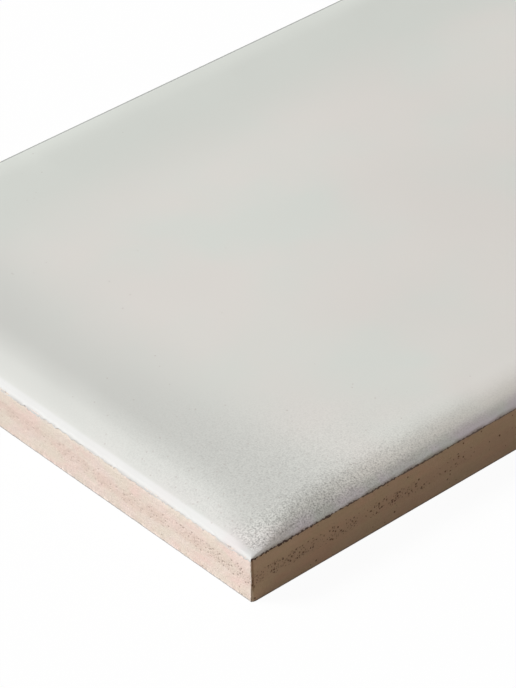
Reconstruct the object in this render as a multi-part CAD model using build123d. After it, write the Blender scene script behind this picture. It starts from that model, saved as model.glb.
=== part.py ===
"""Glazed wall tile with a cushioned edge, lying glaze up on its bedding face.

Units are millimetres. The origin is the centre of the bedding face, +X runs along
the tile's length, +Y across it, and +Z points out of the glazed face.
"""

from build123d import *
import math
import os

# Pressed outline
tile_length = 200.0
tile_width = 100.0
side_height = 7.2
corner_radius = 0.3
foot_bevel = 0.2

# Cushioned face: a tight lip of glaze at the rim, then a long arc up to the flat field
lip_radius = 0.4
cushion_width = 6.0
cushion_rise = 2.0
cushion_corner_radius = 7.5

# Glaze coat over the biscuit, which keeps a narrow level ledge that the coat's edge stands on
glaze_thickness = 0.45
ledge_width = 0.25

# Keyed back: shallow pockets with sloping walls between a plain rim and crossing ribs
rim_width = 6.5
rib_width = 2.5
pocket_pitch = 21.0
pocket_depth = 0.7
pocket_corner_radius = 2.0
pocket_wall_slope = 35.0

# Sections that each lofted arc passes through
arc_sections = 5

# The cushion's arc starts as steep as the lip's arc ends, so that the two meet smoothly
cushion_angle = 2 * math.atan2(cushion_rise, cushion_width)
lip_turn = math.pi / 2 - cushion_angle
lip_inset = lip_radius * (1 - math.cos(lip_turn))
lip_rise = lip_radius * math.sin(lip_turn)
field_inset = lip_inset + cushion_width
crown_height = side_height + lip_rise + cushion_rise


def contour(inset, height):
    """The tile's outline drawn in by inset at a height, with rounder corners further in."""
    share = inset / field_inset
    radius = corner_radius + (cushion_corner_radius - corner_radius) * share
    outline = RectangleRounded(tile_length - 2 * inset, tile_width - 2 * inset, radius)
    return Plane.XY.offset(height) * outline


def lip_profile():
    """Inset and height of the glaze lip's sections, from the upright rim inwards."""
    for step in range(arc_sections):
        turn = lip_turn * step / (arc_sections - 1)
        yield lip_radius * (1 - math.cos(turn)), side_height + lip_radius * math.sin(turn)


def cushion_profile(start_inset, start_height, end_height):
    """Inset and height along an arc that rises from its start and ends level at the field."""
    width = field_inset - start_inset
    rise = end_height - start_height
    angle = 2 * math.atan2(rise, width)
    radius = width / math.sin(angle)
    for step in range(arc_sections):
        left = angle * (1 - step / (arc_sections - 1))
        yield field_inset - radius * math.sin(left), end_height - radius * (1 - math.cos(left))


def crown(profile):
    """A solid whose flank follows the profile all round the tile."""
    return loft([contour(inset, height) for inset, height in profile])


def pocket_grid():
    """Centres and size of the back's pockets, as many as fit at about the pitch."""
    counts, sizes = [], []
    for side in (tile_length, tile_width):
        inner = side - 2 * rim_width
        count = max(1, round((inner + rib_width) / pocket_pitch))
        counts.append(count)
        sizes.append((inner - (count - 1) * rib_width) / count)
    spacing = [size + rib_width for size in sizes]
    return GridLocations(*spacing, *counts), sizes


def make_pockets():
    """The shallow pockets pressed into the back, as tools to cut with."""
    places, (size_x, size_y) = pocket_grid()
    mouth = RectangleRounded(size_x, size_y, pocket_corner_radius)
    pocket = extrude(mouth, amount=pocket_depth, taper=pocket_wall_slope)
    return [place * pocket for place in places]


def make_biscuit():
    """The pressed clay body: a slab with a bevelled foot, a cushioned top and a keyed back."""
    slab = extrude(contour(0, 0), amount=side_height)
    slab = chamfer(slab.faces().sort_by(Axis.Z)[0].outer_wire().edges(), foot_bevel)
    rise = cushion_profile(ledge_width, side_height, crown_height - glaze_thickness)
    body = slab + crown(rise)
    return body - make_pockets()


def make_glaze():
    """The fired glaze coat, lipped over the rim and thin over the cushion and the field."""
    lip = crown(lip_profile())
    cushion = crown(cushion_profile(lip_inset, side_height + lip_rise, crown_height))
    rise = cushion_profile(ledge_width, side_height, crown_height - glaze_thickness)
    return lip + cushion - crown(rise)


os.makedirs("parts", exist_ok=True)
for name, solid in {"biscuit": make_biscuit(), "glaze": make_glaze()}.items():
    export_step(solid, f"parts/{name}.step")
    print(name, "volume", round(solid.volume), "mm3, size", solid.bounding_box().size)
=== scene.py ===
"""Satin-glazed ceramic wall tile with a cushioned rim, bare pressed sides and a keyed back.

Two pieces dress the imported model: the biscuit, pressed from clay and fired, and the coat of
glaze fired onto it. Geometry Nodes sweep each one's section round the tile's outline. Units
are metres in the model's own frame: +X runs along the tile, +Y across it, +Z points out of
the glazed face, and the origin is the middle of the bedding face.
"""

import logging
import math
from collections.abc import Iterable, Mapping, Sequence
from dataclasses import dataclass
from enum import Enum

import bpy
from mathutils import Matrix, Vector


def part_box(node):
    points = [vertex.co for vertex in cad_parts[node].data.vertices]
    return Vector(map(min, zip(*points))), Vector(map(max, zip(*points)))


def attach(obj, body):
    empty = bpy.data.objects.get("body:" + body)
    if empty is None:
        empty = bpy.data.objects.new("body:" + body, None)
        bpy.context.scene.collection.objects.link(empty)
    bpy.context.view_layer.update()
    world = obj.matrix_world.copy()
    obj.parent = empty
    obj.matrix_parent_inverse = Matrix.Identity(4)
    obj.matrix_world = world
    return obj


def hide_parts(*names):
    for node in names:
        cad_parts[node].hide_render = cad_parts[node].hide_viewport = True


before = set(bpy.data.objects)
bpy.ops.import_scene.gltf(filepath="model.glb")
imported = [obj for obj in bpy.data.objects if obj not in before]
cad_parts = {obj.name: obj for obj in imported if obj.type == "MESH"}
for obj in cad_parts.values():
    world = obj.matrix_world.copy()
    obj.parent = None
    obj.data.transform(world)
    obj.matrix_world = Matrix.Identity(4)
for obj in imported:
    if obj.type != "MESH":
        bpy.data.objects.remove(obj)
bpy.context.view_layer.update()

MM = 0.001
BODY = "root"
FAR_HEIGHT = "far height"
WELD = 0.002 * MM

HALF_SIZES = ("Half Length", "Half Width")
OUTLINE = (
    *HALF_SIZES, "Rim Radius", "Crest Radius", "Crest Inset", "Crest Start", "Crest Growth", "Corner Bend",
)
STATIONS = ("Corner Stations", "Long Stations", "Short Stations")
FIRED = (
    "Rim Height", "Wave Size", "Wave Depth", "Field Sag", "Lip Wander", "Skirt Depth", "End Skirt",
)
PRESSED = (
    "Rim Height", "Band Low", "Band High", "Pit Cell", "Pit Size", "Pit Depth", "Side Wave", "Chip Depth",
)
POCKET_SIZES = (
    "Mouth Half Length", "Mouth Half Width", "Mouth Radius", "Wall Inset", "Pocket Step X", "Pocket Step Y",
)
POCKET_COUNTS = ("Mouth Corner Stations", "Mouth Side Stations", "Pockets X", "Pockets Y")

Wire = bpy.types.NodeSocket | float | int | Sequence[float] | bpy.types.Material
Section = list[tuple[float, float, float, float]]
Range = tuple[float, float]
Tint = tuple[float, float, float, float]

log = logging.getLogger("wall_tile")


class TreeKind(Enum):
    """The two kinds of node tree that the tile is made with."""

    SHAPE = "GeometryNodeTree"
    FINISH = "ShaderNodeTree"


class SocketKind(Enum):
    """What a node group's socket carries."""

    NUMBER = "NodeSocketFloat"
    COUNT = "NodeSocketInt"
    PLACE = "NodeSocketVector"
    MESH = "NodeSocketGeometry"
    COAT = "NodeSocketMaterial"
    OBJECT = "NodeSocketObject"


Sockets = Mapping[SocketKind, Sequence[str]]


@dataclass(frozen=True)
class Patches:
    """A pattern of soft patches: their width, their seed and how gently they fade."""

    size: float
    seed: float
    softness: float
    grain: tuple[float, float, float] = (1.0, 1.0, 1.0)
    detail: float = 2.0


@dataclass(frozen=True)
class Grit:
    """A pattern of separate spots: their spacing, their radius as a share of it, and a seed."""

    cell: float
    size: float
    seed: float = 0.0


class Bench:
    """A node tree on the bench, with short calls for the nodes that the tile needs."""

    def __init__(self, tree: bpy.types.NodeTree) -> None:
        """Takes the tree that nodes are added to."""
        self.tree = tree
        self.entry: bpy.types.Node | None = None

    @classmethod
    def group(cls, name: str, kind: TreeKind, inputs: Sockets, outputs: Sockets) -> "Bench":
        """Starts a node group with named sockets.

        Args:
            name: The group's name.
            kind: Whether it shapes meshes or feeds a finish.
            inputs: The input sockets' names, by kind.
            outputs: The output sockets' names, by kind.

        Returns:
            The bench that holds the new group.
        """
        tree = bpy.data.node_groups.new(name, kind.value)
        for in_out, sockets in (("INPUT", inputs), ("OUTPUT", outputs)):
            for socket_kind, labels in sockets.items():
                for label in labels:
                    tree.interface.new_socket(label, in_out=in_out, socket_type=socket_kind.value)
        bench = cls(tree)
        bench.entry = tree.nodes.new("NodeGroupInput")
        return bench

    def given(self, name: str) -> bpy.types.NodeSocket:
        """The group's own input of that name."""
        return self.entry.outputs[name]

    def handed(self, *names: str) -> dict[str, bpy.types.NodeSocket]:
        """The group's own inputs of those names, ready to be handed to another group."""
        return {name.replace(" ", "_"): self.given(name) for name in names}

    def give(self, **results: Wire) -> None:
        """Wires the group's outputs, named with _ for each space."""
        end = self.tree.nodes.new("NodeGroupOutput")
        for name, wire in results.items():
            self.feed(end.inputs[name.replace("_", " ")], wire)

    def feed(self, socket: bpy.types.NodeSocket, wire: Wire) -> None:
        """Links a socket to another one, or sets its own value.

        Args:
            socket: The socket that takes the value.
            wire: The other socket, or the value itself.
        """
        if isinstance(wire, bpy.types.NodeSocket):
            self.tree.links.new(wire, socket)
        else:
            socket.default_value = wire

    def add(
        self, kind: str, inputs: Mapping[str | int, Wire] | None = None, **settings: object
    ) -> bpy.types.Node:
        """Adds a node.

        Args:
            kind: Blender's name for the node type.
            inputs: Wires by the name, or the place in order, of the sockets in use.
            **settings: The node's own properties.

        Returns:
            The new node.
        """
        node = self.tree.nodes.new(kind)
        for name, value in settings.items():
            setattr(node, name, value)
        in_use = [socket for socket in node.inputs if socket.enabled]
        for key, wire in (inputs or {}).items():
            found = in_use[key] if isinstance(key, int) else node.inputs[key]
            self.feed(found, wire)
        return node

    def use(self, group: bpy.types.NodeTree, **inputs: Wire) -> bpy.types.Node:
        """Places a group in this tree, its inputs named with _ for each space.

        Args:
            group: The group's tree.
            **inputs: Wires by the inputs' names.

        Returns:
            The group's node.
        """
        kind = "GeometryNodeGroup" if group.bl_idname == TreeKind.SHAPE.value else "ShaderNodeGroup"
        node = self.add(kind, node_tree=group)
        for name, wire in inputs.items():
            self.feed(node.inputs[name.replace("_", " ")], wire)
        return node

    def shared(self, name: str, **inputs: Wire) -> Mapping[str, bpy.types.NodeSocket]:
        """Places a shared group in this tree and gives its outputs."""
        return self.use(SHARED[TreeKind(self.tree.bl_idname)][name], **inputs).outputs

    def math(self, operation: str, first: Wire, second: Wire = 0.0) -> bpy.types.NodeSocket:
        """The result of one sum, product or function of numbers.

        Args:
            operation: Blender's name for it.
            first: The first number.
            second: The second number, where there is one.

        Returns:
            The result.
        """
        node = self.add("ShaderNodeMath", operation=operation)
        self.feed(node.inputs[0], first)
        self.feed(node.inputs[1], second)
        return node.outputs[0]

    def product(self, *wires: Wire) -> bpy.types.NodeSocket:
        """All the numbers multiplied.

        Args:
            *wires: The numbers.

        Returns:
            Their product.
        """
        total = wires[0]
        for wire in wires[1:]:
            total = self.math("MULTIPLY", total, wire)
        return total

    def total(self, *wires: Wire) -> bpy.types.NodeSocket:
        """All the numbers added.

        Args:
            *wires: The numbers.

        Returns:
            Their sum.
        """
        result = wires[0]
        for wire in wires[1:]:
            result = self.math("ADD", result, wire)
        return result

    def rest(self, share: Wire) -> bpy.types.NodeSocket:
        """What is left of one after a share."""
        return self.math("SUBTRACT", 1.0, share)

    def span(
        self,
        value: Wire,
        low: Wire,
        high: Wire,
        start: Wire = 0.0,
        end: Wire = 1.0,
        smooth: bool = False,
    ) -> bpy.types.NodeSocket:
        """A number carried from one range to another and held at its ends.

        Args:
            value: The number.
            low: Where the first range starts.
            high: Where the first range ends.
            start: The result at low.
            end: The result at high.
            smooth: Whether the result eases in and out.

        Returns:
            The carried number.
        """
        shape = "SMOOTHSTEP" if smooth else "LINEAR"
        node = self.add("ShaderNodeMapRange", interpolation_type=shape)
        for socket, wire in zip(node.inputs[:5], (value, low, high, start, end)):
            self.feed(socket, wire)
        return node.outputs[0]

    def parts(self, vector: Wire) -> tuple[bpy.types.NodeSocket, ...]:
        """The X, Y and Z of a vector."""
        return tuple(self.add("ShaderNodeSeparateXYZ", {0: vector}).outputs)

    def vector(self, x: Wire, y: Wire, z: Wire) -> bpy.types.NodeSocket:
        """A vector from its X, Y and Z."""
        return self.add("ShaderNodeCombineXYZ", {0: x, 1: y, 2: z}).outputs[0]

    def stretch(self, vector: Wire, factor: Wire) -> bpy.types.NodeSocket:
        """A vector or tint times a number.

        Args:
            vector: The vector or tint.
            factor: The number.

        Returns:
            The stretched vector.
        """
        node = self.add("ShaderNodeVectorMath", operation="SCALE")
        self.feed(node.inputs[0], vector)
        self.feed(node.inputs["Scale"], factor)
        return node.outputs[0]

    def join(self, first: Wire, second: Wire, operation: str = "ADD") -> bpy.types.NodeSocket:
        """Two vectors added, or joined by another operation.

        Args:
            first: The first vector.
            second: The second vector.
            operation: Blender's name for it.

        Returns:
            The result.
        """
        node = self.add("ShaderNodeVectorMath", operation=operation)
        self.feed(node.inputs[0], first)
        self.feed(node.inputs[1], second)
        return node.outputs[0]

    def on_row(self, chain: Wire, value: Wire, row: Wire, kind: str) -> bpy.types.NodeSocket:
        """Reads a chain's value at one of its points.

        Args:
            chain: The chain's mesh.
            value: The value that each of its points has.
            row: The point's place in order.
            kind: Blender's name for the value's type.

        Returns:
            The value there.
        """
        node = self.add("GeometryNodeSampleIndex", {0: chain, 1: value, 2: row}, data_type=kind)
        return next(socket for socket in node.outputs if socket.enabled)

    def tint(self, share: Wire, first: Wire, second: Wire) -> bpy.types.NodeSocket:
        """A tint between two others, the second one at a share of one.

        Args:
            share: How much of the second tint there is.
            first: The tint at a share of zero.
            second: The tint at a share of one.

        Returns:
            The mixed tint.
        """
        node = self.add("ShaderNodeMix", data_type="RGBA")
        in_use = [socket for socket in node.inputs if socket.enabled]
        for socket, wire in zip(in_use, (share, first, second)):
            self.feed(socket, wire)
        return next(socket for socket in node.outputs if socket.enabled)

    def rise(self, value: Wire, over: Range) -> bpy.types.NodeSocket:
        """Zero below a range, one above it, and a smooth step between."""
        return self.span(value, *over, smooth=True)

    def fall(self, value: Wire, over: Range) -> bpy.types.NodeSocket:
        """One below a range, zero above it, and a smooth step between."""
        return self.span(value, *over, 1.0, 0.0, smooth=True)

    def clouds(self, place: Wire, patches: Patches) -> bpy.types.NodeSocket:
        """Soft patches from the shared group.

        Args:
            place: The point in the object's own space.
            patches: The pattern.

        Returns:
            A mask from 0 to 1.
        """
        sizes = {name.title(): value for name, value in vars(patches).items()}
        return self.shared("soft clouds", Place=place, **sizes)["Mask"]

    def spots(self, place: Wire, grit: Grit, share: Wire) -> tuple[bpy.types.NodeSocket, ...]:
        """Separate spots from the shared group.

        Args:
            place: The point in the object's own space.
            grit: The pattern.
            share: How many of the cells hold a spot.

        Returns:
            The spots' mask, and a random number for each cell.
        """
        sizes = {name.title(): value for name, value in vars(grit).items()}
        spots = self.shared("grit spots", Place=place, Share=share, **sizes)
        return spots["Mask"], spots["Tone"]


def rim_distances(kind: TreeKind) -> bpy.types.NodeTree:
    """Group for how far a point is in from the tile's sides and corners.

    Args:
        kind: The kind of tree that the group goes into.

    Returns:
        The group. End and Side are the gaps to the nearest short end and long side, Edge the
        smaller of the two, Arris the larger, Corner their sum, and Long Side is one where a
        long side is nearer than an end.
    """
    bench = Bench.group(
        f"rim distances {kind.name.lower()}",
        kind,
        {SocketKind.PLACE: ("Place",), SocketKind.NUMBER: HALF_SIZES},
        {SocketKind.NUMBER: ("Edge", "Arris", "Corner", "End", "Side", "Long Side")},
    )
    x, y, _ = bench.parts(bench.given("Place"))
    end_gap, side_gap = (
        bench.math("SUBTRACT", bench.given(half), bench.math("ABSOLUTE", way))
        for half, way in zip(HALF_SIZES, (x, y))
    )
    bench.give(
        Edge=bench.math("MINIMUM", end_gap, side_gap),
        Arris=bench.math("MAXIMUM", end_gap, side_gap),
        Corner=bench.total(end_gap, side_gap),
        End=end_gap,
        Side=side_gap,
        Long_Side=bench.math("LESS_THAN", side_gap, end_gap),
    )
    return bench.tree


def soft_clouds(kind: TreeKind) -> bpy.types.NodeTree:
    """Group for soft patches that come and go over the surface.

    Args:
        kind: The kind of tree that the group goes into.

    Returns:
        The group. Size is a patch's width, Grain how often each axis repeats against that,
        Seed picks the pattern, Softness is how gently a patch fades, and Mask is 0 to 1.
    """
    middle = 0.5
    bench = Bench.group(
        f"soft clouds {kind.name.lower()}",
        kind,
        {
            SocketKind.PLACE: ("Place", "Grain"),
            SocketKind.NUMBER: ("Size", "Seed", "Softness", "Detail"),
        },
        {SocketKind.NUMBER: ("Mask",)},
    )
    scaled = bench.stretch(bench.given("Place"), bench.math("DIVIDE", 1.0, bench.given("Size")))
    placed = bench.join(bench.join(scaled, bench.given("Grain"), "MULTIPLY"), bench.given("Seed"))
    noise = bench.add(
        "ShaderNodeTexNoise", {"Vector": placed, "Scale": 1.0, "Detail": bench.given("Detail")}
    ).outputs[0]
    softness = bench.given("Softness")
    low = bench.math("SUBTRACT", middle, softness)
    high = bench.math("ADD", middle, softness)
    bench.give(Mask=bench.span(noise, low, high, smooth=True))
    return bench.tree


def grit_spots(kind: TreeKind) -> bpy.types.NodeTree:
    """Group for small separate grains, one at most to a cell.

    Args:
        kind: The kind of tree that the group goes into.

    Returns:
        The group. Cell is the grains' spacing, Size a grain's radius as a share of it, Share
        how many cells hold one, Mask is 1 on a grain, and Tone is a random number per cell.
    """
    soft_rim = 0.45
    bench = Bench.group(
        f"grit spots {kind.name.lower()}",
        kind,
        {SocketKind.PLACE: ("Place",), SocketKind.NUMBER: ("Cell", "Size", "Seed", "Share")},
        {SocketKind.NUMBER: ("Mask", "Tone")},
    )
    scaled = bench.stretch(bench.given("Place"), bench.math("DIVIDE", 1.0, bench.given("Cell")))
    placed = bench.join(scaled, bench.given("Seed"))
    cells = bench.add("ShaderNodeTexVoronoi", {"Vector": placed, "Scale": 1.0})
    draw, tone, _ = bench.parts(cells.outputs["Color"])
    size = bench.given("Size")
    spot = bench.span(cells.outputs["Distance"], bench.product(size, soft_rim), size, 1.0, 0.0)
    chosen = bench.math("LESS_THAN", draw, bench.given("Share"))
    bench.give(Mask=bench.product(spot, chosen), Tone=tone)
    return bench.tree


def grit_band(kind: TreeKind) -> bpy.types.NodeTree:
    """Group for how many pits a place on the bare side has.

    Args:
        kind: The kind of tree that the group goes into.

    Returns:
        The group. Band is 1 in the coarse middle of the side's height, and Share is the
        share of cells with a pit, densest in the band and near the vertical corners.
    """
    bench = Bench.group(
        f"grit band {kind.name.lower()}",
        kind,
        {SocketKind.PLACE: ("Place",), SocketKind.NUMBER: ("Arris", "Low", "High")},
        {SocketKind.NUMBER: ("Band", "Share")},
    )
    fade = 0.45 * MM
    wander = 0.35 * MM
    drift = Patches(18 * MM, 3.0, 0.2, (1, 1, 0), 1.0)
    cluster = Patches(2.6 * MM, 7.0, 0.08, (1, 1, 1.4), 1.0)
    corner_reach = (8 * MM, 50 * MM)
    fullest, thinnest, sparsest, stray = 0.95, 0.40, 0.12, 0.012
    place = bench.given("Place")
    _, _, height = bench.parts(place)
    level = bench.total(height, bench.span(bench.clouds(place, drift), 0, 1, -wander, wander))
    above, past = (
        bench.rise(level, (bench.math("SUBTRACT", end, fade), bench.total(end, fade)))
        for end in (bench.given("Low"), bench.given("High"))
    )
    band = bench.product(above, bench.rest(past))
    near = bench.span(bench.given("Arris"), *corner_reach, 1.0, sparsest)
    clustered = bench.span(bench.clouds(place, cluster), 0, 1, thinnest, 1.0)
    dense = bench.product(band, near, clustered, fullest)
    bench.give(Band=band, Share=bench.total(dense, stray))
    return bench.tree


SHARED: dict[TreeKind, dict[str, bpy.types.NodeTree]] = {}


def build_shared_groups() -> None:
    """Builds the groups that both the shapes and the finishes use."""
    for kind in TreeKind:
        SHARED[kind] = {}
        for build in (rim_distances, soft_clouds, grit_spots, grit_band):
            SHARED[kind][build.__name__.replace("_", " ")] = build(kind)


@dataclass(frozen=True)
class TileSizes:
    """The tile's sizes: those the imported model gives, and the few that it doesn't."""

    half_length: float
    half_width: float
    rim_height: float
    crown_height: float
    biscuit_height: float
    corner_radius: float = 0.3 * MM
    crest_radius: float = 13.5 * MM
    crest_inset: float = 8.4 * MM
    crest_start: float = 0.25 * MM
    crest_growth: float = 0.45
    corner_bend: float = 0.68
    buried_inset: float = 6.16 * MM
    ledge: float = 0.25 * MM

    @classmethod
    def from_frame(cls) -> "TileSizes":
        """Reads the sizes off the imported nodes' boxes.

        Returns:
            The tile's sizes.
        """
        _, biscuit_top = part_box("biscuit")
        glaze_foot, glaze_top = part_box("glaze")
        return cls(glaze_top.x, glaze_top.y, glaze_foot.z, glaze_top.z, biscuit_top.z)

    def named(self) -> dict[str, float]:
        """The outline's sizes by the names of the trees' inputs.

        Returns:
            The values, ready for a modifier.
        """
        plan = (
            self.half_length, self.half_width, self.corner_radius, self.crest_radius,
            self.crest_inset, self.crest_start, self.crest_growth, self.corner_bend,
        )
        return {**dict(zip(OUTLINE, plan)), "Rim Height": self.rim_height}


@dataclass(frozen=True)
class Stations:
    """How many stations a piece's mesh has round each corner and along each side."""

    corner: int
    long: int
    short: int

    def named(self) -> dict[str, int]:
        """The counts by the names of the trees' inputs."""
        return dict(zip(STATIONS, (self.corner, self.long, self.short)))


@dataclass(frozen=True)
class Flank:
    """How steep one pair of sides is: insets from the lip in millimetres, and degrees."""

    slopes: tuple[tuple[float, float], ...]

    def steepness(self, inset: float) -> float:
        """The rise over the run at an inset.

        Args:
            inset: How far in from the lip, in millimetres.

        Returns:
            The slope's tangent, from the two listed slopes beside the inset.
        """
        for (outer, first), (inner, second) in zip(self.slopes, self.slopes[1:]):
            if inset <= inner:
                share = (inset - outer) / (inner - outer)
                return math.tan(math.radians(first + share * (second - first)))
        return 0.0

    def heights(self, insets: Sequence[float], start: float, crown: float) -> list[float]:
        """The heights of a row of insets, from the lip's end up to the field.

        Args:
            insets: The insets, the first one at the lip's end.
            start: The height of the lip's end.
            crown: The field's height.

        Returns:
            The heights after the first, stretched a little so that the last is the crown.
        """
        rise = 0.0
        rises = []
        for outer, inner in zip(insets, insets[1:]):
            rise += (inner - outer) * self.steepness(((outer + inner) / 2 - insets[0]) / MM)
            rises.append(rise)
        fit = (crown - start) / rise
        return [start + fit * height for height in rises]


@dataclass(frozen=True)
class Cushion:
    """The glazed edge in section: a tight lip, then the flanks of the ends and the two sides."""

    lip_radius: float = 0.14 * MM
    lip_slope: float = math.radians(33)
    lip_steps: int = 4
    ends: Flank = Flank(
        ((0.0, 31.0), (0.9, 30.0), (1.1, 23.5), (3.9, 17.0), (4.8, 10.0), (8.2, 0.0))
    )
    near_side: Flank = Flank(
        ((0.0, 35.5), (0.8, 33.0), (2.0, 26.5), (3.2, 20.5), (3.9, 14.0), (4.6, 8.0), (6.5, 0.0))
    )
    far_side: Flank = Flank(
        ((0.0, 49.0), (0.9, 47.5), (1.75, 44.0), (2.0, 20.0), (2.25, 4.0), (4.5, 2.0), (8.2, 0.0))
    )
    fine_step: float = 0.2 * MM
    fine_steps: int = 12
    step: float = 0.4 * MM
    steps: int = 15

    def lip(self, rim: float) -> Section:
        """The lip's arc, from upright at the rim to the flanks' slope.

        Args:
            rim: The height at which the lip starts.

        Returns:
            The section's points from the rim inwards.
        """
        turn = math.pi / 2 - self.lip_slope
        angles = [turn * step / self.lip_steps for step in range(self.lip_steps + 1)]
        return all_round(
            (self.lip_radius * (1 - math.cos(angle)), rim + self.lip_radius * math.sin(angle))
            for angle in angles
        )

    def section(self, rim: float, crown: float) -> Section:
        """The lip and the flanks.

        Args:
            rim: The height at which the lip starts.
            crown: The field's height.

        Returns:
            The section's points from the rim inwards, the last one on the field.
        """
        lip = self.lip(rim)
        start, height, *_ = lip[-1]
        insets = [start + self.fine_step * step for step in range(self.fine_steps + 1)]
        inner = insets[-1]
        insets += [inner + self.step * (step + 1) for step in range(self.steps)]
        flanks = (self.ends, self.near_side, self.far_side)
        return [*lip, *zip(insets[1:], *(flank.heights(insets, height, crown) for flank in flanks))]


def all_round(points: Iterable[tuple[float, float]]) -> Section:
    """A section that is the same on all four sides, from its insets and heights."""
    return [(inset, height, height, height) for inset, height in points]


def buried_crown(tile: TileSizes, steps: int) -> Section:
    """The biscuit's cushioned top under the glaze, as one arc from the ledge to the field.

    Args:
        tile: The tile's sizes.
        steps: How many stretches the arc has.

    Returns:
        The section's points from the ledge inwards.
    """
    width = tile.buried_inset - tile.ledge
    angle = 2 * math.atan2(tile.biscuit_height - tile.rim_height, width)
    radius = width / math.sin(angle)
    turns = [angle * (1 - step / steps) for step in range(steps + 1)]
    return all_round(
        (tile.buried_inset - radius * math.sin(turn), tile.biscuit_height - radius * (1 - math.cos(turn)))
        for turn in turns
    )


def tile_outline() -> bpy.types.NodeTree:
    """Group that places a station on a rectangle with rounded corners.

    Returns:
        The group. Stations are counted anticlockwise from the start of the corner at +X, +Y:
        a corner's arc, a long side, an arc and a short side, and then the same again. Side
        Share is 1 on the long sides, 0 on the short ones, and in between round the corners.
        Bend is 1 where a corner is a circle's quarter, and less where it starts more gently.
    """
    bench = Bench.group(
        "tile outline",
        TreeKind.SHAPE,
        {
            SocketKind.NUMBER: ("Station", "Inset", "Radius", "Bend", *HALF_SIZES),
            SocketKind.COUNT: STATIONS,
        },
        {SocketKind.PLACE: ("Place",), SocketKind.NUMBER: ("Side Share",)},
    )
    station, radius = bench.given("Station"), bench.given("Radius")
    corner_end, long, short = (bench.given(name) for name in STATIONS)
    long_end = bench.total(corner_end, long)
    second_end = bench.total(long_end, corner_end)
    half_round = bench.total(second_end, short)
    local = bench.math("MODULO", station, half_round)
    rounds = bench.math("FLOOR", bench.math("DIVIDE", station, half_round))
    mirrored = bench.span(bench.math("MODULO", rounds, 2.0), 0, 1, 1, -1)
    arcs = bench.total(bench.span(local, 0, corner_end), bench.span(local, long_end, second_end))
    angle = bench.product(arcs, math.pi / 2)
    along = bench.span(local, corner_end, long_end, 1, -1)
    across = bench.span(local, second_end, half_round, 1, -1)
    reach = bench.total(bench.given("Inset"), radius)
    sine = bench.math("SINE", angle)
    way = []
    for half, core, share in zip(HALF_SIZES, (along, across), (bench.math("COSINE", angle), sine)):
        bent = bench.math("POWER", bench.math("ABSOLUTE", share), bench.given("Bend"))
        corner = bench.product(radius, bench.math("SIGN", share), bent)
        middle = bench.product(bench.math("SUBTRACT", bench.given(half), reach), core)
        way.append(bench.product(bench.total(middle, corner), mirrored))
    bench.give(Place=bench.vector(*way, 0.0), Side_Share=bench.product(sine, sine))
    return bench.tree


def outline_sweep(outline: bpy.types.NodeTree) -> bpy.types.NodeTree:
    """Group that carries a section round the outline and closes it along the middle.

    Args:
        outline: The tile outline group.

    Returns:
        The group. Section is a chain of points, X their inset, Y their height on the short
        ends, Z that on the near long side and the far height attribute that on the far one.
        Corners are Rim Radius out to Crest Start, open towards Crest Radius at Crest Inset
        by the power of Crest Growth, and are sharp where the inset reaches the middle. Corner
        Bend is 1 for round corners, and less for ones that start more gently. Faces
        point to the left of the chain as seen along the outline.
    """
    bench = Bench.group(
        "outline sweep",
        TreeKind.SHAPE,
        {SocketKind.MESH: ("Section",), SocketKind.NUMBER: OUTLINE, SocketKind.COUNT: STATIONS},
        {SocketKind.MESH: ("Mesh",)},
    )
    section = bench.given("Section")
    rows = bench.add("GeometryNodeAttributeDomainSize", {0: section}).outputs["Point Count"]
    last_row = bench.math("SUBTRACT", rows, 1.0)
    corner, long, short = (bench.given(name) for name in STATIONS)
    stations = bench.product(bench.total(corner, corner, long, short), 2.0)
    grid = bench.add(
        "GeometryNodeMeshGrid",
        {0: stations, 1: last_row, 2: bench.total(stations, 1.0), 3: rows},
    ).outputs["Mesh"]
    across, up, _ = bench.parts(bench.add("GeometryNodeInputPosition").outputs[0])
    station = bench.math("ROUND", bench.total(across, bench.product(stations, 0.5)))
    row = bench.math("ROUND", bench.total(up, bench.product(last_row, 0.5)))
    position = bench.add("GeometryNodeInputPosition").outputs[0]
    far = bench.add("GeometryNodeInputNamedAttribute", {"Name": FAR_HEIGHT}, data_type="FLOAT")
    inset, end_height, near_height = bench.parts(bench.on_row(section, position, row, "FLOAT_VECTOR"))
    far_height = bench.on_row(section, far.outputs["Attribute"], row, "FLOAT")
    crest, length, width = (bench.given(name) for name in ("Crest Inset", "Half Length", "Half Width"))
    middle = bench.math("MINIMUM", length, width)
    opening = bench.math(
        "POWER", bench.span(inset, bench.given("Crest Start"), crest), bench.given("Crest Growth")
    )
    rounding = bench.span(opening, 0.0, 1.0, bench.given("Rim Radius"), bench.given("Crest Radius"))
    radius = bench.product(rounding, bench.span(inset, crest, middle, 1.0, 0.0))
    flat = bench.use(
        outline,
        Station=station,
        Inset=inset,
        Radius=radius,
        Bend=bench.given("Corner Bend"),
        **bench.handed(*HALF_SIZES, *STATIONS),
    )
    _, y, _ = bench.parts(flat.outputs["Place"])
    side_height = bench.span(bench.math("GREATER_THAN", y, 0.0), 0, 1, near_height, far_height)
    height = bench.span(flat.outputs["Side Share"], 0, 1, end_height, side_height)
    placed = bench.join(flat.outputs["Place"], bench.vector(0.0, 0.0, height))
    swept = bench.add("GeometryNodeSetPosition", {"Geometry": grid, "Position": placed}).outputs[0]
    welded = bench.add("GeometryNodeMergeByDistance", {"Geometry": swept, "Distance": WELD})
    bench.give(Mesh=welded.outputs[0])
    return bench.tree


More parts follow.
